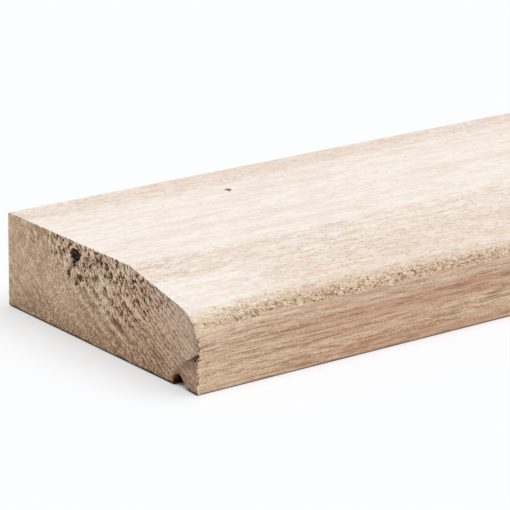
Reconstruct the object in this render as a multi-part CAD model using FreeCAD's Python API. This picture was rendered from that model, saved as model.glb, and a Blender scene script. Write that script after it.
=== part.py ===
"""External hardwood window sill: one length of moulded section, planed all round.

The section has a flat seat at the back for the window frame, a weathered slope that
sheds rain towards the front, a rounded nose and a drip groove under the front edge.
Frame: +X along the board, -Y towards the nose, +Z up. The origin is at the middle of
the footprint, on the bed. Millimetres and degrees.
"""

import FreeCAD
import Part
import math
import os

# Driving dimensions of the board
board_length = 1200.0
board_width = 145.0
board_thickness = 45.0

# Weathering: the flat seat at the back, then the slope down to the nose
seat_width = 95.0
slope_angle = 12.5
nose_radius = 15.0

# Drip groove in the bed, with a round top
groove_width = 7.0
groove_depth = 6.0
groove_setback = 10.0

# Easing of the long arrises that the planer leaves
arris_radius = 0.6

# Two points closer than this are one point
join_tolerance = 1e-6


def section_corners():
    """The section's corners as (y, z, radius), from the back of the bed round by the front."""
    front = -board_width / 2
    back = board_width / 2
    seat_front = back - seat_width
    nose_corner_height = board_thickness - (seat_front - front) * math.tan(math.radians(slope_angle))
    groove_front = front + groove_setback
    groove_back = groove_front + groove_width
    groove_round = min(groove_width / 2, groove_depth)
    return [
        (back, 0.0, arris_radius),
        (groove_back, 0.0, arris_radius),
        (groove_back, groove_depth, groove_round),
        (groove_front, groove_depth, groove_round),
        (groove_front, 0.0, arris_radius),
        (front, 0.0, arris_radius),
        (front, nose_corner_height, nose_radius),
        (seat_front, board_thickness, 0.0),
        (back, board_thickness, arris_radius),
    ]


def rounded_corner(before, corner, after):
    """Where the round at a corner starts, its middle, and where it ends: one point if it is sharp."""
    point = FreeCAD.Vector(0, corner[0], corner[1])
    radius = corner[2]
    if radius == 0:
        return [point]
    to_before = (FreeCAD.Vector(0, before[0], before[1]) - point).normalize()
    to_after = (FreeCAD.Vector(0, after[0], after[1]) - point).normalize()
    half_angle = to_before.getAngle(to_after) / 2
    setback = radius / math.tan(half_angle)
    bisector = (to_before + to_after).normalize()
    centre = point + bisector * (radius / math.sin(half_angle))
    return [point + to_before * setback, centre - bisector * radius, point + to_after * setback]


def section_wire():
    """The closed outline: straight runs between the corners, and a tangent arc at each round one."""
    corners = section_corners()
    count = len(corners)
    rounds = [
        rounded_corner(corners[i - 1], corners[i], corners[(i + 1) % count])
        for i in range(count)
    ]
    edges = []
    for i in range(count):
        here = rounds[i]
        if len(here) == 3:
            edges.append(Part.Arc(*here).toShape())
        start = here[-1]
        end = rounds[(i + 1) % count][0]
        if start.distanceToPoint(end) > join_tolerance:
            edges.append(Part.LineSegment(start, end).toShape())
    return Part.Wire(edges)


def sill_board():
    """The section run out to the board's length, both ends sawn square."""
    section = Part.Face(section_wire())
    section.translate(FreeCAD.Vector(-board_length / 2, 0, 0))
    return section.extrude(FreeCAD.Vector(board_length, 0, 0))


def main():
    os.makedirs("parts", exist_ok=True)
    board = sill_board()
    board.exportStep("parts/sill_board.step")
    box = board.BoundBox
    print("sill_board", "valid" if board.isValid() else "broken", round(board.Volume), "mm3")
    print("size", round(box.XLength, 3), round(box.YLength, 3), round(box.ZLength, 3))


main()
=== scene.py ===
import bpy
import math
from mathutils import Matrix, Vector


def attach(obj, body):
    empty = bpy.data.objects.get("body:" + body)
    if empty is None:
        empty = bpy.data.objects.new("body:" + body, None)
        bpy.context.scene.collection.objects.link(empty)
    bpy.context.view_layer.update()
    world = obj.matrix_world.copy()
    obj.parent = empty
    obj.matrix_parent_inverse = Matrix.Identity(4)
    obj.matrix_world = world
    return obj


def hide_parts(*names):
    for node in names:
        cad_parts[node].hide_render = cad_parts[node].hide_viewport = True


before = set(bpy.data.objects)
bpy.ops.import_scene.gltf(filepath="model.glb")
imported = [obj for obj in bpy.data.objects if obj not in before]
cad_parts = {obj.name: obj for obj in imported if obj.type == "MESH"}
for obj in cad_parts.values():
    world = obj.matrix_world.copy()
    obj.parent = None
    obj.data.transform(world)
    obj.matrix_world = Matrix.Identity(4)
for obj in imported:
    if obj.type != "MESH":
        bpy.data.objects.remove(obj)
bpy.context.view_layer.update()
bpy.context.scene.view_settings.view_transform = "Standard"
print("frame loaded:", sorted(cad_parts))

# The section and its mesh, in metres and degrees
sillBoard = {
    "length": 1.2,
    "width": 0.145,
    "thickness": 0.045,
    "seatWidth": 0.095,
    "slopeAngle": 12.5,
    "noseRadius": 0.015,
    "noseSegments": 40,
    "noseProfile": 0.517,     # bevel profile that gives a true arc at that angle
    "grooveWidth": 0.007,
    "grooveDepth": 0.006,
    "grooveSetback": 0.010,
    "grooveSegments": 10,
    "arris": 0.0006,
    "arrisSegments": 3,
    "lipWear": (0.0070, 0.0018),   # how far the groove's front lip is worn, forwards and up
    "lipRadius": 0.0012,
    "lipSegments": 5,
    "samePlace": 1e-6,
    "smoothBelow": 40.0,      # edges sharper than this stay crisp
    "endPitch": 0.0005,       # mesh lines on the sawn ends
    "collar": [0.0003, 0.0008, 0.0016, 0.003, 0.006],   # mesh lines behind an end
    "stations": [0.06, 0.12, 0.18, 0.24, 0.30, 0.36, 0.42, 0.6, 0.8, 1.0, 1.12, 1.18],
    "pinhole": {"x": -0.4952, "y": 0.0442, "radius": 0.0011, "depth": 0.0011, "stretch": (1.0, 2.4),
                "footShare": 0.45, "mouthShare": 1.1, "turn": (0.2, 0.1, -0.35)},
    "tornMesh": {"from": 0.006, "to": 0.42, "lowAngle": 20.0, "highAngle": 77.0, "cuts": 92},
}


def hexTone(code):
    # an sRGB hex colour as the linear RGBA that a socket holds
    parts = [int(code[i:i + 2], 16) / 255 for i in (1, 3, 5)]
    return [p / 12.92 if p <= 0.04045 else ((p + 0.055) / 1.055) ** 2.4 for p in parts] + [1.0]


def pickVerts(board, test):
    # selects the vertices that pass the test and leaves the board in edit mode
    bpy.ops.object.mode_set(mode="EDIT")
    bpy.ops.mesh.select_mode(type="VERT")
    bpy.ops.mesh.select_all(action="DESELECT")
    bpy.ops.object.mode_set(mode="OBJECT")
    for vert in board.data.vertices:
        vert.select = test(vert.co)
    bpy.ops.object.mode_set(mode="EDIT")


# The section, drawn corner by corner on the plane of the near end
def sectionCorners(size):
    front = -size["width"] / 2
    back = size["width"] / 2
    seatFront = back - size["seatWidth"]
    noseHeight = size["thickness"] - (seatFront - front) * math.tan(math.radians(size["slopeAngle"]))
    grooveFront = front + size["grooveSetback"]
    grooveBack = grooveFront + size["grooveWidth"]
    return {
        "bedBack": (back, 0),
        "lipBack": (grooveBack, 0),
        "grooveTopBack": (grooveBack, size["grooveDepth"]),
        "grooveTopFront": (grooveFront, size["grooveDepth"]),
        "lipFront": (grooveFront, size["lipWear"][1]),
        "lipFoot": (grooveFront - size["lipWear"][0], 0),
        "bedFront": (front, 0),
        "nose": (front, noseHeight),
        "seatFront": (seatFront, size["thickness"]),
        "seatBack": (back, size["thickness"]),
    }


def roundCorners(board, places, radius, segments, halfAngle=45.0, profile=0.5):
    near = sillBoard["samePlace"]

    def isCorner(co):
        return any(abs(co.y - y) < near and abs(co.z - z) < near for y, z in places)

    pickVerts(board, isCorner)
    bpy.ops.mesh.bevel(
        offset=radius / math.tan(math.radians(halfAngle)), offset_type="OFFSET",
        segments=segments, profile=profile, affect="VERTICES", clamp_overlap=False)


def drawSection(size):
    corners = sectionCorners(size)
    places = list(corners.values())
    startX = -size["length"] / 2
    bpy.ops.object.select_all(action="DESELECT")
    bpy.ops.mesh.primitive_plane_add(size=0.001, location=(startX, *places[0]))
    board = bpy.context.object
    board.name = "sill_board_wood"
    bpy.ops.object.transform_apply(location=True, rotation=True, scale=True)
    bpy.ops.object.mode_set(mode="EDIT")
    bpy.ops.mesh.merge(type="CENTER")
    for (y0, z0), (y1, z1) in zip(places, places[1:]):
        bpy.ops.mesh.extrude_vertices_move(TRANSFORM_OT_translate={"value": (0, y1 - y0, z1 - z0)})
    # close the outline, then fill it
    pickVerts(board, lambda co: abs(co.y - places[0][0]) < size["samePlace"])
    bpy.ops.mesh.edge_face_add()
    bpy.ops.mesh.select_all(action="SELECT")
    bpy.ops.mesh.edge_face_add()
    # the nose is a true arc between two faces that meet at more than a right angle
    roundCorners(board, [corners["nose"]], size["noseRadius"], size["noseSegments"],
                 (90 + size["slopeAngle"]) / 2, size["noseProfile"])
    grooveTop = [corners["grooveTopBack"], corners["grooveTopFront"]]
    roundCorners(board, grooveTop, size["grooveWidth"] / 2, size["grooveSegments"])
    arrises = ["bedBack", "lipBack", "bedFront", "seatBack"]
    roundCorners(board, [corners[name] for name in arrises], size["arris"], size["arrisSegments"])
    roundCorners(board, [corners["lipFront"]], size["lipRadius"], size["lipSegments"])
    bpy.ops.mesh.select_all(action="SELECT")
    bpy.ops.mesh.remove_doubles(threshold=1e-5)
    bpy.ops.object.mode_set(mode="OBJECT")
    return board


def cutEndLines(board, size):
    # a fine net of lines over the end, for the saw's and the grain's relief
    pitch = size["endPitch"]
    startX = -size["length"] / 2
    bpy.ops.object.mode_set(mode="EDIT")
    for span, start, axis in ((size["width"], -size["width"] / 2, 1), (size["thickness"], 0, 2)):
        for i in range(int(round(span / pitch))):
            place = Vector((startX, 0, 0))
            place[axis] = start + (i + 0.5) * pitch
            facing = Vector((0, 0, 0))
            facing[axis] = 1
            bpy.ops.mesh.select_all(action="SELECT")
            bpy.ops.mesh.bisect(plane_co=place, plane_no=facing, threshold=5e-5)
    bpy.ops.mesh.select_all(action="SELECT")
    bpy.ops.mesh.remove_doubles(threshold=1.2e-4)
    bpy.ops.object.mode_set(mode="OBJECT")


def runOut(board, size):
    # the far end is a copy of the near one, and the outline is run out to meet it
    length = size["length"]
    bpy.ops.object.mode_set(mode="EDIT")
    bpy.ops.mesh.select_all(action="SELECT")
    bpy.ops.mesh.duplicate_move(TRANSFORM_OT_translate={"value": (length, 0, 0)})
    bpy.ops.mesh.flip_normals()
    pickVerts(board, lambda co: co.x < 0)
    bpy.ops.mesh.region_to_loop()
    nearStops = size["collar"] + size["stations"]
    farStops = [length - stop for stop in reversed(size["collar"])] + [length]
    reached = 0.0
    for stop in nearStops + farStops:
        bpy.ops.mesh.extrude_region_move(TRANSFORM_OT_translate={"value": (stop - reached, 0, 0)})
        reached = stop
    bpy.ops.mesh.select_all(action="SELECT")
    bpy.ops.mesh.remove_doubles(threshold=2e-5)
    bpy.ops.mesh.normals_make_consistent(inside=False)
    bpy.ops.object.mode_set(mode="OBJECT")


def drillPinhole(board, size):
    # a small hole in the seat, longer across the board than along it
    hole = size["pinhole"]
    bpy.ops.object.select_all(action="DESELECT")
    bpy.ops.mesh.primitive_cone_add(
        vertices=24, depth=hole["depth"] * 2,
        radius1=hole["radius"] * hole["footShare"], radius2=hole["radius"] * hole["mouthShare"],
        location=(hole["x"], hole["y"], size["thickness"]), rotation=hole["turn"])
    cutter = bpy.context.object
    cutter.scale = (*hole["stretch"], 1.0)
    bpy.ops.object.transform_apply(location=True, rotation=True, scale=True)
    bpy.ops.object.select_all(action="DESELECT")
    board.select_set(True)
    bpy.context.view_layer.objects.active = board
    drill = board.modifiers.new("pinhole", "BOOLEAN")
    drill.operation = "DIFFERENCE"
    drill.solver = "EXACT"
    drill.object = cutter
    bpy.ops.object.modifier_apply(modifier=drill.name)
    bpy.data.objects.remove(cutter)


def noseCentre(size):
    corner = sectionCorners(size)["nose"]
    setback = size["noseRadius"] / math.tan(math.radians(90 + size["slopeAngle"]) / 2)
    return corner[0] + size["noseRadius"], corner[1] - setback


def grooveMiddle(size):
    return (size["grooveWidth"] - size["width"]) / 2 + size["grooveSetback"]


def cutNoseLines(board, size):
    # close mesh lines along the nose, where the cutter tore the grain
    torn = size["tornMesh"]
    low = torn["from"] - size["length"] / 2
    high = torn["to"] - size["length"] / 2
    centreY, centreZ = noseCentre(size)

    def isBand(co):
        angle = math.degrees(math.atan2(co.z - centreZ, centreY - co.y))
        return low - 1e-5 < co.x < high + 1e-5 and torn["lowAngle"] < angle < torn["highAngle"]

    pickVerts(board, lambda co: False)
    bpy.ops.mesh.select_mode(type="EDGE")
    bpy.ops.object.mode_set(mode="OBJECT")
    for edge in board.data.edges:
        a, b = [board.data.vertices[i].co for i in edge.vertices]
        edge.select = abs(a.x - b.x) > 1e-4 and isBand(a) and isBand(b)
    bpy.ops.object.mode_set(mode="EDIT")
    bpy.ops.mesh.subdivide(number_cuts=torn["cuts"], ngon=True)
    # the long faces beside the band now have many corners
    bpy.ops.mesh.select_mode(type="FACE")
    bpy.ops.mesh.select_all(action="DESELECT")
    bpy.ops.mesh.select_face_by_sides(number=4, type="GREATER", extend=False)
    bpy.ops.mesh.quads_convert_to_tris()
    bpy.ops.object.mode_set(mode="OBJECT")


board = drawSection(sillBoard)
cutEndLines(board, sillBoard)
runOut(board, sillBoard)
drillPinhole(board, sillBoard)
cutNoseLines(board, sillBoard)
print("section run out:", len(board.data.polygons), "faces")


# Helpers for node trees: the relief and the materials are made of the same few steps
def feed(tree, socket, value):
    if isinstance(value, bpy.types.NodeSocket):
        tree.links.new(value, socket)
    elif value is not None:
        socket.default_value = value


def calc(tree, operation, *terms, clamp=False):
    node = tree.nodes.new("ShaderNodeMath")
    node.operation = operation
    node.use_clamp = clamp
    for socket, term in zip(node.inputs, terms):
        feed(tree, socket, term)
    return node.outputs[0]


def plus(tree, first, *others):
    for other in others:
        first = calc(tree, "ADD", first, other)
    return first


def times(tree, first, *others):
    for other in others:
        first = calc(tree, "MULTIPLY", first, other)
    return first


def minus(tree, first, second):
    return calc(tree, "SUBTRACT", first, second)


def swing(tree, value, amount):
    # a noise, taken about its middle
    return times(tree, minus(tree, value, 0.5), amount)


def contrast(tree, value, amount):
    # the same noise with more or less swing
    return plus(tree, swing(tree, value, amount), 0.5)


def vector(tree, operation, *terms):
    node = tree.nodes.new("ShaderNodeVectorMath")
    node.operation = operation
    for socket, term in zip(node.inputs, terms):
        feed(tree, socket, term)
    return node.outputs["Value" if operation == "LENGTH" else "Vector"]


def ease(tree, value, low, high, start=0.0, end=1.0):
    # from start to end while value goes from low to high, with soft ends
    node = tree.nodes.new("ShaderNodeMapRange")
    node.interpolation_type = "SMOOTHSTEP"
    for socket, term in zip(node.inputs, (value, low, high, start, end)):
        feed(tree, socket, term)
    return node.outputs[0]


def split(tree, place):
    node = tree.nodes.new("ShaderNodeSeparateXYZ")
    feed(tree, node.inputs[0], place)
    return node.outputs[0], node.outputs[1], node.outputs[2]


def join(tree, x, y, z):
    node = tree.nodes.new("ShaderNodeCombineXYZ")
    for socket, term in zip(node.inputs, (x, y, z)):
        feed(tree, socket, term)
    return node.outputs[0]


def distance(tree, across, up):
    return vector(tree, "LENGTH", join(tree, 0.0, across, up))


def noise(tree, place, waves, detail=2.0, roughness=0.5, twist=0.0):
    # waves is how many waves there are to a millimetre, along each axis
    node = tree.nodes.new("ShaderNodeTexNoise")
    feed(tree, node.inputs["Vector"], vector(tree, "MULTIPLY", place, waves))
    node.inputs["Scale"].default_value = 1.0
    node.inputs["Detail"].default_value = detail
    node.inputs["Roughness"].default_value = roughness
    node.inputs["Distortion"].default_value = twist
    return node.outputs[0]


def mixValue(tree, share, under, over):
    return calc(tree, "MULTIPLY_ADD", share, minus(tree, over, under), under)


def mixTone(tree, share, under, over, mode="MIX"):
    node = tree.nodes.new("ShaderNodeMix")
    node.data_type = "RGBA"
    node.blend_type = mode
    for name, term in (("Factor_Float", share), ("A_Color", under), ("B_Color", over)):
        socket = next(s for s in node.inputs if s.identifier == name)
        feed(tree, socket, term)
    return next(s for s in node.outputs if s.identifier == "Result_Color")


# What the saw and the years left on the ends. Places are millimetres across (y) and up (z)
sawnEnd = {
    "pith": (-220.0, 400.0),      # middle of the growth rings, outside the board
    "pithDistance": 440.0,        # from there to the middle of the end
    "farEndShift": 37.37,         # keeps the two ends from showing the same grain
    "season": 6.2,                # from one dark ring to the next
    "firstSeason": 2.1,
    "ringPitch": 2.5,             # fine lines between the rings, plainest by the nose
    "noseTurn": 0.13,             # how much steeper those lines run there
    "roughFoot": (-10.0, 12.5),   # the torn part is a wide V, and this is its lowest point
    "roughRise": 0.42,            # how fast its edge climbs to both sides
    "pitDepth": 0.7,
    "sawWave": 0.12,
    "footUndercut": 0.8,          # the bottom edge is bruised back
    "hollows": [                  # y, z, half width, half height, depth
        (18.8, 38.7, 4.0, 3.1, 2.4),     # the knot
        (20.0, 34.2, 1.9, 1.7, 1.5),
        (23.6, 28.8, 1.5, 1.9, 0.85),
        (14.4, 29.2, 2.5, 1.8, 0.95),
        (18.0, 26.0, 1.3, 1.2, 0.8),
        (27.8, 38.4, 1.5, 1.1, 0.7),
        (22.5, 42.9, 1.7, 0.9, 0.6),
        (4.9, 39.5, 0.9, 1.3, 0.7),
        (2.0, 43.6, 1.9, 0.9, 0.8),
        (1.5, 40.9, 1.2, 1.7, 0.8),
        (-5.2, 39.6, 1.2, 2.3, 0.8),
        (-9.2, 36.4, 1.5, 2.2, 0.85),
        (-13.2, 42.2, 1.5, 1.3, 0.7),
        (-27.0, 39.0, 1.2, 1.1, 0.55),
        (-32.6, 41.4, 0.8, 1.3, 0.5),
        (-72.7, 23.2, 0.7, 0.8, 0.6),    # chips out of the front corner
        (-72.7, 20.3, 0.5, 0.6, 0.5),
        (-72.7, 14.0, 0.6, 0.7, 0.5),
        (-72.7, 5.6, 0.6, 0.7, 0.6),
        (-72.7, 2.4, 0.7, 0.6, 0.6),
        (-70.6, 15.6, 0.9, 0.9, 0.5),    # under the mouth of the split
    ],
    "crackMouth": (-72.5, 17.9),  # the split opens at the front face
    "crackBend": (-64.0, 13.2),   # and goes on from here as a fold, down behind the groove
    "crackEnd": (-54.0, 6.5),
    "foldFrom": 18.5,             # how far behind the front face the fold is lost
    "crackDepth": 1.2,
    "cornerSetBack": 0.12,
    "paleMiddle": (-5.0, 27.5),   # a paler patch
    "underKnot": (17.5, 31.0, 7.0, 5.0),   # and another: y, z, half width, half height
}


def ringPlace(tree, mm):
    # a place on an end, as millimetres across the growth rings and round them
    x, y, z = split(tree, mm)
    pithY, pithZ = sawnEnd["pith"]
    fromPith = distance(tree, minus(tree, y, pithY), minus(tree, z, pithZ))
    turn = calc(tree, "ARCTAN2", minus(tree, y, pithY), minus(tree, pithZ, z))
    whichEnd = times(tree, calc(tree, "SIGN", x), sawnEnd["farEndShift"])
    roundRings = times(tree, turn, sawnEnd["pithDistance"])
    return join(tree, fromPith, roundRings, whichEnd)


def underTop(tree, y, z):
    # how far a place lies under the seat or the slope
    corner = sectionCorners(sillBoard)["seatFront"]
    drop = math.tan(math.radians(sillBoard["slopeAngle"]))
    slope = calc(tree, "MULTIPLY_ADD", minus(tree, y, 1000 * corner[0]), drop, 1000 * corner[1])
    return minus(tree, calc(tree, "MINIMUM", slope, 1000 * corner[1]), z)


def skinDepth(tree, y, z):
    # how far a place lies inside the top, the nose or the front; no more than the nose's radius
    radius = 1000 * sillBoard["noseRadius"]
    behind = plus(tree, y, 500 * sillBoard["width"])
    short = [calc(tree, "MAXIMUM", minus(tree, radius, d), 0.0) for d in (underTop(tree, y, z), behind)]
    return minus(tree, radius, distance(tree, *short))


def endRoughness(tree, mm):
    # 1 where the saw tore the grain, near 0 where it cut clean
    x, y, z = split(tree, mm)
    footY, footZ = sawnEnd["roughFoot"]
    aside = calc(tree, "ABSOLUTE", minus(tree, y, footY))
    edge = calc(tree, "MULTIPLY_ADD", aside, sawnEnd["roughRise"], footZ)
    wobble = swing(tree, noise(tree, mm, (0.0, 0.09, 0.09), 3.0), 12.0)
    beyond = minus(tree, plus(tree, z, wobble), edge)
    torn = plus(tree, ease(tree, beyond, -6.0, 5.0, 0.12, 0.8), ease(tree, beyond, 8.0, 18.0, 0.0, 0.2))
    frontPart = ease(tree, y, -66.0, -44.0, 0.3, 1.0)
    backPart = ease(tree, y, 54.0, 32.0, 0.2, 1.0)
    return times(tree, torn, frontPart, backPart)


def endGrain(tree, mm):
    # the pattern of pores and fibres on an end: pits, raised flecks and how torn it is
    rings = ringPlace(tree, mm)
    rough = endRoughness(tree, mm)
    x, y, z = split(tree, mm)
    # clean cuts show rows along the rings by the nose and by the back, and short rays between
    noseRows = noise(tree, rings, (0.9, 0.65, 1.0), 2.5, 0.62, 0.3)
    rays = contrast(tree, noise(tree, rings, (0.8, 1.4, 1.0), 3.0, 0.7, 0.3), 1.3)
    backRows = contrast(tree, noise(tree, rings, (0.7, 0.38, 1.0), 4.0, 0.85, 0.3), 1.35)
    clean = mixValue(tree, ease(tree, y, -14.0, 8.0), noseRows, rays)
    clean = mixValue(tree, ease(tree, y, 38.0, 50.0), clean, backRows)
    clean = contrast(tree, clean, ease(tree, y, -30.0, -54.0, 0.9, 0.75))
    # torn fibres lean a little from upright
    lean = join(tree, x, plus(tree, times(tree, y, 0.96), times(tree, z, -0.28)),
                plus(tree, times(tree, y, 0.28), times(tree, z, 0.96)))
    lowTuft = noise(tree, lean, (0.047, 0.95, 0.58), 4.0, 0.85, 0.5)
    highTuft = noise(tree, lean, (0.047, 0.9, 0.36), 4.0, 0.8, 0.5)
    tuft = mixValue(tree, ease(tree, z, 23.0, 31.0), lowTuft, highTuft)
    tuft = contrast(tree, tuft, ease(tree, y, -6.0, -26.0, 1.65, 1.4))
    fleck = mixValue(tree, ease(tree, rough, 0.3, 0.8), clean, tuft)
    rows = noise(tree, rings, (0.32, 0.045, 1.0), 2.0)
    waver = swing(tree, noise(tree, rings, (0.15, 0.08, 1.0), 2.0), 3.2)
    ring = plus(tree, split(tree, rings)[0], waver)
    # dark rings show most in the middle, and fine beaded lines towards the nose
    inRing = times(tree, minus(tree, ring, sawnEnd["firstSeason"]), 2 * math.pi / sawnEnd["season"])
    towardsNose = calc(tree, "MINIMUM", plus(tree, y, 20.0), 0.0)
    steep = plus(tree, ring, times(tree, towardsNose, sawnEnd["noseTurn"]))
    low = times(tree, ease(tree, z, 36.0, 25.0, 0.35, 1.0), ease(tree, z, 3.0, 14.0, 0.5, 1.0))
    inMiddle = calc(tree, "MINIMUM", ease(tree, y, 28.0, 12.0, 0.006, 0.045),
                    ease(tree, y, -40.0, -22.0, 0.02, 0.045))
    season = times(tree, calc(tree, "COSINE", inRing), low, inMiddle)
    beads = ease(tree, noise(tree, rings, (0.4, 0.45, 1.0), 2.0), 0.35, 0.6, 0.45, 1.3)
    inLine = times(tree, steep, 2 * math.pi / sawnEnd["ringPitch"])
    lines = times(tree, calc(tree, "SINE", inLine), beads, ease(tree, y, 0.0, -42.0, 0.005, 0.06))
    clump = noise(tree, lean, (0.047, 0.42, 0.3), 2.5, 0.55, 0.4)
    patchy = times(tree, calc(tree, "MULTIPLY_ADD", rough, 0.3, 0.12),
                   ease(tree, y, -6.0, -26.0, 1.0, 0.6))
    inRows = times(tree, swing(tree, rows, 0.26), low, ease(tree, y, 30.0, 5.0, 0.3, 1.0))
    level = plus(tree, fleck, inRows, season, lines, swing(tree, clump, patchy))
    return {
        "pits": ease(tree, level, 0.52, 0.635),
        "flecks": ease(tree, level, 0.55, 0.40),
        "sparks": ease(tree, level, 0.46, 0.36),     # the brightest of the flecks
        "rough": rough,
        "rows": rows,
        "rings": rings,
    }


# Torn grain along the nose: millimetres along the board and round the nose
tornNose = {
    "low": 7.5,
    "high": 16.4,
    "highFar": 13.8,      # further along, the torn band keeps lower on the nose
    "depth": 0.8,
    "strongFrom": 32.0,
    "fadeFrom": 300.0,
    "fadeTo": 415.0,
    "speck": (108.6, 8.0),   # a pale speck sits here
}


def nosePlace(tree, mm):
    x, y, z = split(tree, mm)
    centreY, centreZ = [1000 * c for c in noseCentre(sillBoard)]
    turn = calc(tree, "ARCTAN2", minus(tree, z, centreZ), minus(tree, centreY, y))
    along = plus(tree, x, 500 * sillBoard["length"])
    return along, times(tree, turn, 1000 * sillBoard["noseRadius"])


def tornGrain(tree, mm):
    # how torn the nose is, and the curled fibres standing on it
    along, girth = nosePlace(tree, mm)
    place = join(tree, along, girth, 0.0)
    drift = minus(tree, noise(tree, place, (0.05, 0.0, 0.0), 4.0, 0.65), 0.5)
    lowEdge = calc(tree, "MULTIPLY_ADD", drift, 4.0, girth)
    highEdge = calc(tree, "MULTIPLY_ADD", drift, -5.0, girth)
    reach = ease(tree, along, 60.0, 150.0, tornNose["high"], tornNose["highFar"])
    lowEdge = plus(tree, lowEdge, ease(tree, along, 42.0, 8.0, 0.0, 1.2))
    band = times(tree, ease(tree, lowEdge, tornNose["low"] - 2.4, tornNose["low"] + 2.4),
                 ease(tree, minus(tree, highEdge, reach), 4.0, -4.0))
    run = times(tree, ease(tree, along, 0.0, tornNose["strongFrom"], 0.68, 1.0),
                ease(tree, along, tornNose["fadeTo"], tornNose["fadeFrom"]))
    # it breaks up into tufts where it fades
    clumps = swing(tree, noise(tree, place, (0.22, 0.3, 0.0), 3.0, 0.6), 1.4)
    ragged = plus(tree, times(tree, band, run), clumps)
    strength = times(tree, ease(tree, ragged, 0.2, 0.75), ease(tree, band, 0.0, 0.2))
    # two lots of curled fibres lie over each other, with torn-out pits between them
    fibre = None
    for shift, waves in ((0.0, (0.19, 0.27, 1.0)), (31.4, (0.3, 0.42, 1.0))):
        lot = vector(tree, "ADD", place, (shift, 0.0, shift))
        curl = noise(tree, lot, waves, 1.5, 0.5, 2.4)
        ridge = ease(tree, calc(tree, "ABSOLUTE", minus(tree, curl, 0.5)), 0.052, 0.012)
        fibre = ridge if fibre is None else calc(tree, "MAXIMUM", fibre, ridge)
    pit = ease(tree, noise(tree, place, (0.52, 0.82, 1.0), 2.0, 0.55, 1.0), 0.50, 0.62)
    pit = times(tree, pit, calc(tree, "MULTIPLY_ADD", fibre, -0.85, 1.0))
    return strength, fibre, pit


# The relief itself: one modifier moves the mesh inwards and notes which way each place faced before
def storeNote(tree, mesh, name, value):
    node = tree.nodes.new("GeometryNodeStoreNamedAttribute")
    node.data_type = "FLOAT"
    node.domain = "POINT"
    node.inputs["Name"].default_value = name
    feed(tree, node.inputs["Geometry"], mesh)
    feed(tree, node.inputs["Value"], value)
    return node.outputs[0]


def hollowDepth(tree, mm):
    # the knot and the torn-out pits of the near end in millimetres, its front corner, the split, and
    # the painted shade under the fold
    x, y, z = split(tree, mm)
    ragY = minus(tree, noise(tree, mm, (0.0, 0.45, 0.45), 3.0, 0.6), 0.5)
    ragZ = minus(tree, noise(tree, mm, (0.0, 0.5, 0.4), 3.0, 0.6), 0.5)
    fineRag = minus(tree, noise(tree, mm, (0.0, 1.1, 1.1), 2.0, 0.6), 0.5)
    raggedY = calc(tree, "MULTIPLY_ADD", fineRag, 1.5, calc(tree, "MULTIPLY_ADD", ragY, 3.4, y))
    raggedZ = calc(tree, "MULTIPLY_ADD", fineRag, -1.5, calc(tree, "MULTIPLY_ADD", ragZ, 3.4, z))
    depth = None
    for midY, midZ, halfWidth, halfHeight, deep in sawnEnd["hollows"]:
        off = distance(tree, calc(tree, "DIVIDE", minus(tree, raggedY, midY), halfWidth),
                       calc(tree, "DIVIDE", minus(tree, raggedZ, midZ), halfHeight))
        pit = ease(tree, off, 1.1, 0.65, 0.0, deep)
        depth = pit if depth is None else calc(tree, "MAXIMUM", depth, pit)
    # the split opens at the front face and goes on as a fold; above is how far over it a place lies,
    # and the wood just under the fold is painted with shade
    path = [sawnEnd[name] for name in ("crackMouth", "crackBend", "crackEnd")]
    above = None
    for (y0, z0), (y1, z1) in zip(path, path[1:]):
        span = math.hypot(y1 - y0, z1 - z0)
        over = plus(tree, times(tree, minus(tree, y, y0), (z0 - z1) / span),
                    times(tree, minus(tree, z, z0), (y1 - y0) / span))
        above = over if above is None else calc(tree, "MAXIMUM", above, over)
    above = plus(tree, above, times(tree, ragY, 2.4), times(tree, fineRag, 1.6))
    inwards = minus(tree, y, path[0][0])
    halfGap = ease(tree, inwards, 0.0, 8.0, 1.4, 0.35)
    openness = ease(tree, calc(tree, "DIVIDE", calc(tree, "ABSOLUTE", above), halfGap), 1.2, 0.1)
    crack = times(tree, openness, ease(tree, inwards, 9.0, 1.5, 0.3, 1.0),
                  ease(tree, inwards, 14.5, 11.0))
    corner = times(tree, ease(tree, above, 0.9, -1.6), ease(tree, inwards, sawnEnd["foldFrom"], 13.0))
    foldShade = times(tree, ease(tree, above, 0.8, -0.5), ease(tree, above, -6.0, -0.8),
                 ease(tree, inwards, sawnEnd["foldFrom"], 7.0))
    nearEnd = calc(tree, "LESS_THAN", x, 0.0)
    return [times(tree, mark, nearEnd) for mark in (depth, corner, crack, foldShade)]


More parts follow.
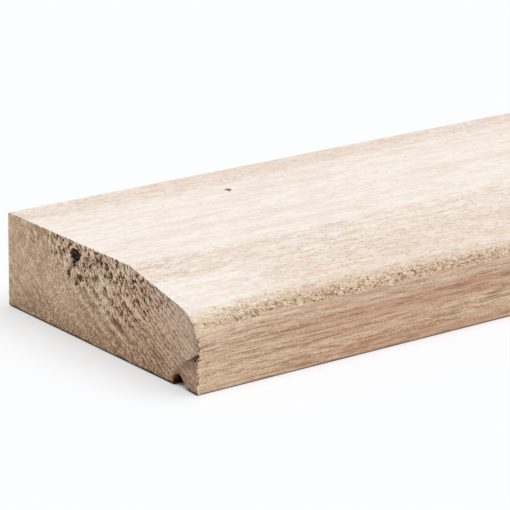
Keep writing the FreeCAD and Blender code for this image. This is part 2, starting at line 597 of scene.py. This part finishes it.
def carveRelief(board, size):
    tree = bpy.data.node_groups.new("sawAndTearMarks", "GeometryNodeTree")
    tree.interface.new_socket("Geometry", in_out="INPUT", socket_type="NodeSocketGeometry")
    tree.interface.new_socket("Geometry", in_out="OUTPUT", socket_type="NodeSocketGeometry")
    mesh = tree.nodes.new("NodeGroupInput").outputs[0]
    out = tree.nodes.new("NodeGroupOutput")
    place = tree.nodes.new("GeometryNodeInputPosition").outputs[0]
    mm = vector(tree, "MULTIPLY", place, (1000, 1000, 1000))
    normal = tree.nodes.new("GeometryNodeInputNormal").outputs[0]
    x, y, z = split(tree, mm)

    # the ends: pits and hollows go in along the board, and the first few millimetres follow
    grain = endGrain(tree, mm)
    hollow, corner, crack = hollowDepth(tree, mm)[:3]
    wave = times(tree, noise(tree, mm, (0.0, 0.05, 0.12), 2.0), sawnEnd["sawWave"])
    clean = calc(tree, "MULTIPLY_ADD", corner, -0.8, 1.0)
    underArris = ease(tree, underTop(tree, y, z), 0.0, 1.6, 0.3, 1.0)
    pitDepth = times(tree, grain["pits"], grain["rough"], clean, sawnEnd["pitDepth"], underArris)
    lie = times(tree, minus(tree, 1.0, grain["flecks"]), 0.12)
    depth = plus(tree, pitDepth, wave, lie)
    depth = calc(tree, "MULTIPLY_ADD", corner, sawnEnd["cornerSetBack"], depth)
    depth = calc(tree, "MAXIMUM", depth, ease(tree, z, 1.1, 0.0, 0.0, sawnEnd["footUndercut"]))
    depth = calc(tree, "MAXIMUM", depth, hollow)
    depth = calc(tree, "MAXIMUM", depth, times(tree, crack, sawnEnd["crackDepth"]))
    inside = minus(tree, 500 * size["length"], calc(tree, "ABSOLUTE", x))
    collar = ease(tree, inside, 6.0, 0.0)
    push = times(tree, depth, collar, calc(tree, "SIGN", x))
    endMove = join(tree, times(tree, push, -0.001), 0.0, 0.0)

    # the nose: fibres stand, and the wood between them is torn out
    strength, fibre, pit = tornGrain(tree, mm)
    bare = calc(tree, "MULTIPLY_ADD", fibre, -0.45, 0.45)
    tornDepth = times(tree, strength, calc(tree, "MULTIPLY_ADD", pit, 0.55, bare))
    sink = times(tree, tornDepth, -0.001 * tornNose["depth"])
    noseMove = vector(tree, "MULTIPLY", normal, join(tree, 0.0, sink, sink))

    mesh = storeNote(tree, mesh, "skyward", split(tree, normal)[2])
    mover = tree.nodes.new("GeometryNodeSetPosition")
    feed(tree, mover.inputs["Geometry"], mesh)
    feed(tree, mover.inputs["Offset"], vector(tree, "ADD", endMove, noseMove))
    tree.links.new(mover.outputs[0], out.inputs[0])

    bpy.ops.object.select_all(action="DESELECT")
    board.select_set(True)
    bpy.context.view_layer.objects.active = board
    marks = board.modifiers.new("marks", "NODES")
    marks.node_group = tree
    bpy.ops.object.modifier_apply(modifier=marks.name)
    bpy.ops.object.shade_smooth_by_angle(angle=math.radians(size["smoothBelow"]))


def makeMaterial(name):
    material = bpy.data.materials.new(name)
    material.use_nodes = True
    tree = material.node_tree
    shader = tree.nodes["Principled BSDF"]
    place = tree.nodes.new("ShaderNodeTexCoord").outputs["Object"]
    mm = vector(tree, "MULTIPLY", place, (1000, 1000, 1000))
    return material, tree, shader, mm


def noteOf(tree, name):
    node = tree.nodes.new("ShaderNodeAttribute")
    node.attribute_name = name
    return node.outputs["Fac"]


def bumpFrom(tree, shader, height, rise, strength=1.0):
    node = tree.nodes.new("ShaderNodeBump")
    node.inputs["Strength"].default_value = strength
    node.inputs["Distance"].default_value = rise
    feed(tree, node.inputs["Height"], height)
    tree.links.new(node.outputs[0], shader.inputs["Normal"])


planedWood = {
    "tanLight": "#f3d9ba",
    "tanMid": "#dfbe9e",
    "tanDark": "#b98f70",
    "tanRed": "#cfa083",
    "hairTan": "#825534",
    # the pale tones are painted highlight, for the faces that look up
    "paleLight": "#fcf4ec",
    "paleMid": "#f7ece1",
    "paleDark": "#e8d5c3",
    "paleTan": "#e8d4c2",
    "hairPale": "#bfa089",
    "noseGrey": "#bfa58c",
    "fringe": "#e9d0b4",
    "fibre": "#feeacf",
    "torn": "#d2ac86",
    "tornPitAndShadow": "#966c46",
    "chipLight": "#fbdab4",
    "chipDark": "#5d3f2d",
    "grooveEdge": "#8a5222",
    "grooveShade": "#1b0e06",
    "grooveDust": "#8a6c53",
    "speck": "#e9e6da",
    # painted shade in the pinhole
    "hole": "#9b8a75",
    # painted contact shadow along the bottom edge
    "foot": "#4a3e38",
    "underside": "#b39b84",
}


def planedMaterial(look):
    look = {part: hexTone(code) for part, code in look.items()}
    material, tree, shader, mm = makeMaterial("planedHardwood")
    x, y, z = split(tree, mm)
    # the grain wanders a little as it runs along the board
    bow = swing(tree, noise(tree, mm, (0.005, 0.02, 0.02), 2.0), 6.0)
    ripple = swing(tree, noise(tree, mm, (0.03, 0.06, 0.06), 2.0), 1.0)
    drift = plus(tree, bow, ripple)
    grain = join(tree, x, plus(tree, y, drift), plus(tree, z, drift))
    figure = noise(tree, grain, (0.006, 0.1, 0.1), 3.0)
    streak = noise(tree, grain, (0.075, 1.05, 1.05), 4.0, 0.7)
    vein = noise(tree, grain, (0.008, 0.65, 0.65), 4.0, 0.7)
    hair = ease(tree, noise(tree, grain, (0.06, 2.2, 2.2), 3.0, 0.65), 0.52, 0.62)
    dashes = ease(tree, noise(tree, grain, (0.36, 1.1, 1.1), 3.0, 0.6), 0.52, 0.64)
    fuzz = noise(tree, mm, (0.9, 0.9, 0.9), 2.0, 0.6)
    mottle = noise(tree, mm, (0.09, 0.3, 0.3), 3.0, 0.6)
    fine = noise(tree, grain, (0.06, 3.2, 3.2), 2.0)
    skyward = noteOf(tree, "skyward")
    along, girth = nosePlace(tree, mm)

    # the fresh tan of the upright faces
    tone = plus(tree, times(tree, streak, 0.42), times(tree, vein, 0.36), times(tree, fuzz, 0.22),
                ease(tree, along, 60.0, 0.0, 0.0, 0.022), ease(tree, along, 90.0, 150.0, 0.0, -0.012))
    tan = mixTone(tree, ease(tree, tone, 0.49, 0.58), look["tanMid"], look["tanLight"])
    tan = mixTone(tree, ease(tree, tone, 0.50, 0.41), tan, look["tanDark"])
    redness = times(tree, ease(tree, figure, 0.5, 0.62, 0.0, 0.5),
                    ease(tree, along, 20.0, 110.0, 0.2, 1.0))
    tan = mixTone(tree, redness, tan, look["tanRed"])
    hairShare = times(tree, hair, ease(tree, tone, 0.56, 0.44, 0.3, 0.72),
                      ease(tree, fuzz, 0.35, 0.55, 0.5, 1.0))
    tan = mixTone(tree, hairShare, tan, look["hairTan"])

    # the pale top, painted highlight: the upward faces are painted paler and washed out as under the
    # bright light above, with short marks on cream and broader tan bands that follow the grain
    soft = plus(tree, times(tree, mottle, 0.45), times(tree, streak, 0.25), times(tree, vein, 0.3))
    pale = mixTone(tree, ease(tree, soft, 0.43, 0.57), look["paleMid"], look["paleLight"])
    bandY = calc(tree, "MULTIPLY_ADD", drift, 1.5, y)
    highSlope = ease(tree, along, 10.0, 60.0, 0.75, 0.45)
    lowSlope = ease(tree, along, 22.0, 85.0, 0.0, 0.8)
    slopeBand = times(tree, ease(tree, bandY, -19.0, -25.0),
                      mixValue(tree, ease(tree, bandY, -35.0, -43.0), highSlope, lowSlope))
    backBand = ease(tree, bandY, 42.0, 66.0, 0.0, 0.6)
    banded = calc(tree, "MAXIMUM", slopeBand, backBand)
    stain = calc(tree, "ADD", banded, 0.3, clamp=True)
    pale = mixTone(tree, times(tree, ease(tree, soft, 0.53, 0.40), stain), pale, look["paleDark"])
    pale = mixTone(tree, times(tree, banded, 0.5), pale, look["paleTan"])
    pale = mixTone(tree, ease(tree, figure, 0.52, 0.68, 0.0, 0.35), pale, look["paleTan"])
    lines = calc(tree, "MAXIMUM", times(tree, hair, 0.5), times(tree, dashes, 0.9))
    lines = times(tree, lines, ease(tree, fuzz, 0.35, 0.6, 0.4, 1.0),
                  calc(tree, "MULTIPLY_ADD", stain, 0.7, 0.14))
    pale = mixTone(tree, lines, pale, look["hairPale"])
    # painted highlight: the faces that look up take the pale tone, the upright ones the tan
    wood = mixTone(tree, ease(tree, skyward, 0.28, 0.9), tan, pale)
    dull = times(tree, ease(tree, skyward, -0.6, -0.95), ease(tree, mottle, 0.35, 0.65, 0.25, 0.6))
    wood = mixTone(tree, dull, wood, look["underside"])

    # a greyer strip under the nose, and a warm fringe above the torn grain
    strip = times(tree, ease(tree, girth, 0.5, 4.0), ease(tree, girth, 9.5, 7.0),
                  ease(tree, mottle, 0.35, 0.6, 0.35, 0.75))
    wood = mixTone(tree, strip, wood, look["noseGrey"], "COLOR")
    fringe = times(tree, ease(tree, girth, 14.0, 20.0), ease(tree, girth, 28.0, 22.0),
                   ease(tree, along, 30.0, 80.0, 0.0, 0.35), ease(tree, soft, 0.56, 0.44, 0.3, 1.0))
    wood = mixTone(tree, fringe, wood, look["fringe"])

    # torn grain on the nose: cream curls on a tan bed, with pits between; the curls are painted
    # brighter higher up the nose, and painted shadows lie beside the strands and in the pits, darker
    # lower down
    strength, fibre, pit = tornGrain(tree, mm)
    fresh = ease(tree, along, 6.0, 45.0, 0.4, 1.0)
    shade = noise(tree, mm, (0.25, 0.3, 0.3), 2.0)
    bed = times(tree, strength, fresh, ease(tree, girth, 18.0, 8.5, 0.12, 0.75),
                ease(tree, along, 120.0, 190.0, 1.0, 0.85))
    wood = mixTone(tree, bed, wood, look["torn"])
    lit = times(tree, ease(tree, shade, 0.65, 0.4, 0.45, 1.0), ease(tree, girth, 4.5, 9.0, 0.4, 1.0))
    wood = mixTone(tree, times(tree, fibre, lit, strength), wood, look["fibre"])
    wool = noise(tree, join(tree, along, girth, 0.4), (0.72, 1.15, 1.0), 2.0, 0.6, 1.5)
    dim = times(tree, ease(tree, girth, 16.0, 8.5, 0.22, 0.92), fresh,
                ease(tree, along, 110.0, 180.0, 1.0, 0.6))
    # painted shadow beside the strands, in the colour of the pits
    shadow = times(tree, ease(tree, wool, 0.52, 0.62, 0.0, 0.55), dim, strength)
    wood = mixTone(tree, shadow, wood, look["tornPitAndShadow"])
    strand = times(tree, ease(tree, wool, 0.47, 0.38, 0.0, 0.7), lit, strength)
    wood = mixTone(tree, strand, wood, look["fibre"])
    wood = mixTone(tree, times(tree, pit, dim, strength), wood, look["tornPitAndShadow"])

    # small chips along the near arris of the front
    chip = noise(tree, mm, (0.45, 0.7, 0.5), 3.0, 0.65)
    splinter = noise(tree, mm, (0.03, 0.4, 0.4), 2.0)
    atCorner = times(tree, ease(tree, plus(tree, along, swing(tree, splinter, 11.0)), 3.0, 1.0),
                     calc(tree, "LESS_THAN", y, -71.0))
    wood = mixTone(tree, times(tree, ease(tree, chip, 0.5, 0.6), atCorner), wood, look["chipLight"])
    wood = mixTone(tree, times(tree, ease(tree, chip, 0.46, 0.39), atCorner), wood, look["chipDark"])

    # the drip groove's lining is painted shade, brown where it comes out of the end and near black
    # behind, with dust further in
    beside = calc(tree, "ABSOLUTE", minus(tree, y, 1000 * grooveMiddle(sillBoard)))
    halfGroove = 500 * sillBoard["grooveWidth"] + 0.2
    grooveTop = 1000 * sillBoard["grooveDepth"] + 0.4
    inGroove = times(tree, calc(tree, "LESS_THAN", beside, halfGroove),
                     calc(tree, "LESS_THAN", z, grooveTop))
    # how far the lining has gone over to the near black painted shade
    deep = calc(tree, "MAXIMUM", ease(tree, along, 1.0, 3.5), ease(tree, z, 3.6, 2.0, 0.0, 0.85))
    lining = mixTone(tree, deep, look["grooveEdge"], look["grooveShade"])
    dusty = ease(tree, plus(tree, mottle, times(tree, z, -0.04)), 0.1, 0.55, 0.45, 0.95)
    dust = times(tree, ease(tree, along, 15.0, 90.0), dusty)
    lining = mixTone(tree, dust, lining, look["grooveDust"])
    wood = mixTone(tree, inGroove, wood, lining)

    # a pale speck on the nose, the pinhole painted darker as shade in its hollow, and a painted contact
    # shadow along the foot where the board meets the floor
    speckAlong, speckGirth = tornNose["speck"]
    fromSpeck = distance(tree, minus(tree, along, speckAlong), minus(tree, girth, speckGirth))
    speck = ease(tree, calc(tree, "MULTIPLY_ADD", shade, 1.2, fromSpeck), 2.3, 1.5, 0.0, 0.85)
    speck = times(tree, speck, calc(tree, "LESS_THAN", y, -60.0))
    wood = mixTone(tree, speck, wood, look["speck"])
    # the pinhole is tinted darker round its real hollow: painted shade
    hole = sillBoard["pinhole"]
    fromHole = distance(tree, minus(tree, x, 1000 * hole["x"]), minus(tree, y, 1000 * hole["y"]))
    holeShade = times(tree, ease(tree, fromHole, 2.1, 1.3), calc(tree, "GREATER_THAN", z, 30.0))
    wood = mixTone(tree, holeShade, wood, look["hole"])
    # painted contact shadow: the lowest millimetre of the upright faces is darkened where the board
    # meets the floor
    bottomEdgeShade = times(tree, ease(tree, z, 1.0, 0.3, 0.0, 0.8),
                    ease(tree, skyward, -0.95, -0.6, 0.15, 1.0))
    wood = mixTone(tree, bottomEdgeShade, wood, look["foot"])

    tree.links.new(wood, shader.inputs["Base Color"])
    shader.inputs["Specular IOR Level"].default_value = 0.25
    feed(tree, shader.inputs["Roughness"], ease(tree, fine, 0.3, 0.7, 0.58, 0.72))
    height = minus(tree, times(tree, fine, 0.4), calc(tree, "MAXIMUM", hair, dashes))
    bumpFrom(tree, shader, height, 0.00008, 0.6)
    return material


sawnWood = {
    "light": "#dcbb9b",
    "mid": "#cba786",
    "dark": "#ab8464",
    "pink": "#d3a691",
    "olive": "#c3ab85",
    "fleck": "#efd3b3",
    "spark": "#ffebd0",
    "pit": "#55240f",
    "spot": "#4d2412",
    "knot": "#322a2a",
    "halo": "#dfc0b0",
    "grey": "#c9b0a0",
    "rim": "#a3977f",
    "corner": "#a27a60",
    "foldShade": "#75523c",
    "crack": "#4a372b",
    "grooveRing": "#7a5028",
    # painted contact shadow along the bottom edge of the end
    "foot": "#2c2828",
}


def sawnMaterial(look):
    look = {part: hexTone(code) for part, code in look.items()}
    material, tree, shader, mm = makeMaterial("sawnEndGrain")
    x, y, z = split(tree, mm)
    grain = endGrain(tree, mm)
    hollow, corner, crack, foldShade = hollowDepth(tree, mm)
    rough = times(tree, grain["rough"], calc(tree, "MULTIPLY_ADD", corner, -0.8, 1.0))
    cloud = noise(tree, mm, (0.0, 0.06, 0.08), 3.0)
    hue = noise(tree, vector(tree, "ADD", mm, (0.0, 61.0, 17.0)), (0.0, 0.12, 0.14), 3.0)
    wood = mixTone(tree, ease(tree, cloud, 0.35, 0.65), look["mid"], look["light"])
    wood = mixTone(tree, ease(tree, hue, 0.51, 0.66, 0.0, 0.7), wood, look["pink"])
    wood = mixTone(tree, ease(tree, hue, 0.48, 0.33, 0.0, 0.6), wood, look["olive"])
    wood = mixTone(tree, ease(tree, grain["rows"], 0.50, 0.70, 0.0, 0.35), wood, look["dark"])
    # lighter by the back edge, a painted sheen, and darker towards the bottom
    wood = mixTone(tree, ease(tree, y, 58.0, 70.0, 0.0, 0.6), wood, look["light"])
    low = times(tree, ease(tree, z, 18.0, 1.0, 0.0, 0.55), ease(tree, y, 66.0, 50.0, 0.5, 1.0))
    wood = mixTone(tree, low, wood, look["dark"])
    # a greyer strip along the weathered slope and nose
    skin = skinDepth(tree, y, z)
    weathered = times(tree, ease(tree, skin, 14.0, 3.0, 0.3, 0.7), ease(tree, y, -26.0, -50.0))
    wood = mixTone(tree, weathered, wood, look["grey"])
    uneven = plus(tree, hue, swing(tree, grain["rows"], 0.8))
    rim = times(tree, ease(tree, skin, 3.6, 0.8), ease(tree, y, -19.0, -40.0, 0.0, 1.0),
                ease(tree, z, 17.0, 24.0), ease(tree, uneven, 0.36, 0.58, 0.2, 0.85))
    wood = mixTone(tree, rim, wood, look["rim"])
    inner = times(tree, ease(tree, skin, 6.0, 13.0, 0.0, 0.3), ease(tree, y, -14.0, -30.0))
    wood = mixTone(tree, inner, wood, look["dark"])
    # dull under the slope, paler in the middle of the end
    dull = calc(tree, "MAXIMUM", times(tree, ease(tree, y, -18.0, -28.0), ease(tree, z, 14.0, 20.0)),
                times(tree, ease(tree, y, -4.0, -12.0), ease(tree, z, 32.0, 37.0)))
    dull = times(tree, dull, ease(tree, y, -48.0, -36.0, 0.0, 0.4))
    wood = mixTone(tree, dull, wood, look["dark"])
    paleY, paleZ = sawnEnd["paleMiddle"]
    fromMiddle = distance(tree, minus(tree, y, paleY), minus(tree, z, paleZ))
    paler = ease(tree, fromMiddle, 15.0, 5.0, 0.0, 0.5)
    wood = mixTone(tree, paler, wood, look["fleck"])
    wood = mixTone(tree, times(tree, corner, 0.62), wood, look["corner"])
    # paler wood below the knot
    midY, midZ, halfWidth, halfHeight = sawnEnd["underKnot"]
    off = distance(tree, calc(tree, "DIVIDE", minus(tree, y, midY), halfWidth),
                   calc(tree, "DIVIDE", minus(tree, z, midZ), halfHeight))
    halo = times(tree, ease(tree, off, 1.1, 0.5, 0.0, 0.48), calc(tree, "LESS_THAN", x, 0.0))
    wood = mixTone(tree, halo, wood, look["halo"])
    # flecks, sparks and pits, each strongest where the grain is torn
    plain = times(tree, calc(tree, "MULTIPLY_ADD", corner, -0.3, 1.0),
                  ease(tree, y, -28.0, -52.0, 1.0, 0.88))
    flecks = times(tree, grain["flecks"], calc(tree, "MULTIPLY_ADD", rough, 0.2, 0.55), plain)
    wood = mixTone(tree, flecks, wood, look["fleck"])
    bright = times(tree, plain, ease(tree, y, -10.0, -32.0, 1.0, 0.5))
    sparks = times(tree, grain["sparks"], calc(tree, "MULTIPLY_ADD", rough, 0.6, 0.55), bright)
    wood = mixTone(tree, sparks, wood, look["spark"])
    shallow = mixValue(tree, ease(tree, y, -26.0, -40.0), ease(tree, z, 28.0, 36.0, 0.85, 1.0),
                       ease(tree, skin, 3.0, 10.0, 0.5, 1.0))
    dim = times(tree, plain, ease(tree, y, -10.0, -32.0, 1.0, 1.3), shallow)
    pits = times(tree, grain["pits"], calc(tree, "MULTIPLY_ADD", rough, 0.73, 0.29), dim)
    wood = mixTone(tree, pits, wood, look["pit"])
    # the wood just round the top of the drip groove is browner
    roundHeight = 500 * (2 * sillBoard["grooveDepth"] - sillBoard["grooveWidth"])
    fromGroove = distance(tree, minus(tree, y, 1000 * grooveMiddle(sillBoard)),
                          minus(tree, z, roundHeight))
    roundGroove = plus(tree, fromGroove, swing(tree, hue, 4.0))
    wood = mixTone(tree, ease(tree, roundGroove, 5.0, 3.4, 0.0, 0.7), wood, look["grooveRing"])
    # painted shade under the fold
    wood = mixTone(tree, times(tree, foldShade, 0.48), wood, look["foldShade"])
    # the split is cut in and also painted darker: painted shade in the crack
    wood = mixTone(tree, times(tree, crack, 0.9), wood, look["crack"])
    # shreds of wood are left in the hollows
    shreds = ease(tree, noise(tree, grain["rings"], (1.3, 0.6, 1.0), 2.0, 0.6), 0.34, 0.46)
    spots = times(tree, ease(tree, hollow, 0.05, 0.55, 0.0, 0.94), shreds)
    wood = mixTone(tree, spots, wood, look["spot"])
    knot = times(tree, ease(tree, hollow, 0.9, 1.7), ease(tree, shreds, 0.0, 1.0, 0.7, 1.0))
    wood = mixTone(tree, knot, wood, look["knot"])
    # painted contact shadow: the end is darkened along its bottom edge, where it meets the floor
    endFootShade = calc(tree, "MULTIPLY_ADD", minus(tree, hue, 0.5), 2.5, z)
    wood = mixTone(tree, ease(tree, endFootShade, 1.5, 0.6, 0.0, 0.9), wood, look["foot"])
    tree.links.new(wood, shader.inputs["Base Color"])
    shader.inputs["Specular IOR Level"].default_value = 0.15
    shader.inputs["Roughness"].default_value = 0.85
    fine = noise(tree, grain["rings"], (3.0, 1.4, 1.0), 2.0)
    bumpFrom(tree, shader, fine, 0.0002, 0.5)
    return material


def dressBoard(board, size):
    endX = size["length"] / 2 - 1e-5
    board.data.materials.append(planedMaterial(planedWood))
    board.data.materials.append(sawnMaterial(sawnWood))
    pickVerts(board, lambda co: abs(co.x) > endX)
    bpy.ops.mesh.select_mode(type="FACE")
    board.active_material_index = 1
    bpy.ops.object.material_slot_assign()
    bpy.ops.object.mode_set(mode="OBJECT")


# The bake's sheet, in pixels: the parts that show most are drawn largest
bakeSheet = {
    "pixels": 1024.0,
    "nearLength": 420.0,
    # left, foot, and millimetres to a pixel
    "nearTop": (6, 6, 0.44),
    "farTop": (6, 416, 0.80),
    "nearBed": (6, 646, 0.95),
    "nearEnd": (470, 646, 0.30),
    "farBed": (6, 866, 1.45),
    "farEnd": (570, 866, 0.45),
}


def girthOf(size):
    # gives a function: millimetres round the section, forwards over the top or down the back
    width, thickness = 1000 * size["width"], 1000 * size["thickness"]
    centreY, centreZ = [1000 * c for c in noseCentre(size)]
    noseRadius = 1000 * size["noseRadius"]
    upright = math.radians(90 - size["slopeAngle"])
    slopeFoot = centreY - noseRadius * math.cos(upright)
    grooveRadius = 500 * size["grooveWidth"]
    grooveY = 1000 * grooveMiddle(size)
    wall = 1000 * size["grooveDepth"] - grooveRadius

    def girth(middle, facing, y, z):
        if facing.z > 0.5 or (facing.y < -0.5 and middle.y < -66):
            if middle.y > slopeFoot:
                return "Top", width / 2 - y
            reached = width / 2 - slopeFoot
            if middle.z > centreZ:
                return "Top", reached + noseRadius * (upright - math.atan2(z - centreZ, centreY - y))
            return "Top", reached + noseRadius * upright + centreZ - z
        if facing.y > 0.5 and middle.y > 0:
            return "Bed", thickness - z
        reached = thickness + width / 2 - grooveY - grooveRadius
        around = 2 * wall + math.pi * grooveRadius
        if facing.z < -0.5 and abs(middle.y - grooveY) > grooveRadius:
            return "Bed", thickness + width / 2 - y + (around - 2 * grooveRadius) * (middle.y < grooveY)
        if middle.z > wall:
            return "Bed", reached + wall + grooveRadius * math.atan2(max(z - wall, 0), y - grooveY)
        return "Bed", reached + (z if middle.y > grooveY else around - z)

    return girth


def layOnSheet(board, size, sheet):
    girth = girthOf(size)
    layer = board.data.uv_layers.new(name="OFBake")
    startX = -500 * size["length"]
    for face in board.data.polygons:
        middle = face.center * 1000
        atEnd = abs(face.normal.x) > 0.9
        isNear = middle.x < startX + sheet["nearLength"]
        for corner in face.loop_indices:
            x, y, z = board.data.vertices[board.data.loops[corner].vertex_index].co * 1000
            if atEnd:
                part, along, across = "End", y + 500 * size["width"], z
            else:
                part, across = girth(middle, face.normal, y, z)
                along = x - startX - (0 if isNear else sheet["nearLength"])
            left, foot, scale = sheet[("near" if isNear else "far") + part]
            place = (left + along / scale, foot + across / scale)
            layer.data[corner].uv = [p / sheet["pixels"] for p in place]


dressBoard(board, sillBoard)
layOnSheet(board, sillBoard, bakeSheet)
carveRelief(board, sillBoard)
print("relief carved:", sum(len(p.vertices) - 2 for p in board.data.polygons), "triangles")
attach(board, "root")
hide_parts("sill_board")

# The studio: a white floor, a dome of even light and one very broad lamp overhead
studio = {
    "domeLight": 0.42,
    "domeTone": (0.99, 0.995, 1.0, 1),
    "lampFrom": (0.30, -0.12, 0.95),
    "lampSpread": 50.0,
    "lampLevel": 2.0,
    "floorTone": "#f7f9fd",
    "floorWhiteness": 0.55,     # how much of the floor the camera sees as plain white
    "floorCover": 0.012,        # a roof nearer than this keeps the floor dark
    "floorSize": 30.0,
}


def whiteRays(tree):
    # 1 for the rays that should see the white studio, from the camera or by way of a gloss
    rays = tree.nodes.new("ShaderNodeLightPath")
    seen = calc(tree, "MAXIMUM", rays.outputs["Is Camera Ray"], rays.outputs["Is Glossy Ray"])
    return calc(tree, "MAXIMUM", seen, rays.outputs["Is Transmission Ray"])


def setStudio(setup):
    bpy.ops.object.select_all(action="DESELECT")
    bpy.ops.mesh.primitive_plane_add(size=setup["floorSize"], location=(0, 0, 0))
    floor = bpy.context.object
    floor.name = "studio_floor"
    paper = bpy.data.materials.new("whitePaper")
    paper.use_nodes = True
    tree = paper.node_tree
    sheet = tree.nodes["Principled BSDF"]
    sheet.inputs["Base Color"].default_value = hexTone(setup["floorTone"])
    sheet.inputs["Roughness"].default_value = 0.9
    sheet.inputs["Specular IOR Level"].default_value = 0.0
    glow = tree.nodes.new("ShaderNodeEmission")
    glow.inputs["Strength"].default_value = 1.0
    blend = tree.nodes.new("ShaderNodeMixShader")
    # no whiteness where the board closes over the floor, as in the drip groove
    cover = tree.nodes.new("ShaderNodeAmbientOcclusion")
    cover.inputs["Distance"].default_value = setup["floorCover"]
    uncovered = ease(tree, cover.outputs["AO"], 0.12, 0.5)
    feed(tree, blend.inputs[0], times(tree, whiteRays(tree), uncovered, setup["floorWhiteness"]))
    tree.links.new(sheet.outputs[0], blend.inputs[1])
    tree.links.new(glow.outputs[0], blend.inputs[2])
    tree.links.new(blend.outputs[0], tree.nodes["Material Output"].inputs["Surface"])
    floor.data.materials.append(paper)

    world = bpy.data.worlds.new("dome")
    bpy.context.scene.world = world
    world.use_nodes = True
    tree = world.node_tree
    tree.nodes.clear()
    output = tree.nodes.new("ShaderNodeOutputWorld")
    white = tree.nodes.new("ShaderNodeBackground")
    white.inputs["Color"].default_value = (1, 1, 1, 1)
    white.inputs["Strength"].default_value = 1.0
    dome = tree.nodes.new("ShaderNodeBackground")
    dome.inputs["Color"].default_value = setup["domeTone"]
    dome.inputs["Strength"].default_value = setup["domeLight"]
    blend = tree.nodes.new("ShaderNodeMixShader")
    feed(tree, blend.inputs[0], whiteRays(tree))
    tree.links.new(dome.outputs[0], blend.inputs[1])
    tree.links.new(white.outputs[0], blend.inputs[2])
    tree.links.new(blend.outputs[0], output.inputs["Surface"])

    bpy.ops.object.light_add(type="SUN", location=(0, 0, 2))
    lamp = bpy.context.object
    lamp.name = "overheadLamp"
    lamp.data.angle = math.radians(setup["lampSpread"])
    lamp.data.energy = setup["lampLevel"]
    lamp.rotation_euler = Vector(setup["lampFrom"]).to_track_quat("Z", "Y").to_euler()


setStudio(studio)

# The camera, as the photo was taken: a long lens, low, in front of the near end
shot = {
    "place": (-1.2875, -0.9884, 0.4327),
    "right": (0.7903, -0.6126, 0.0161),
    "down": (-0.176, -0.252, -0.9516),
    "forward": (0.587, 0.7492, -0.307),
    "focalPixels": 2886.0,
    "framePixels": 510.0,
    "sensor": 36.0,
}


def setCamera(setup):
    bpy.ops.object.camera_add(location=setup["place"])
    camera = bpy.context.object
    camera.name = "photoCamera"
    columns = [Vector(setup["right"]), -Vector(setup["down"]), -Vector(setup["forward"])]
    camera.rotation_euler = Matrix(columns).transposed().to_euler()
    camera.data.sensor_width = setup["sensor"]
    camera.data.lens = setup["focalPixels"] / setup["framePixels"] * setup["sensor"]
    camera.data.clip_start = 0.01
    camera.data.clip_end = 100.0
    bpy.context.scene.camera = camera


setCamera(shot)
print("camera and studio set")
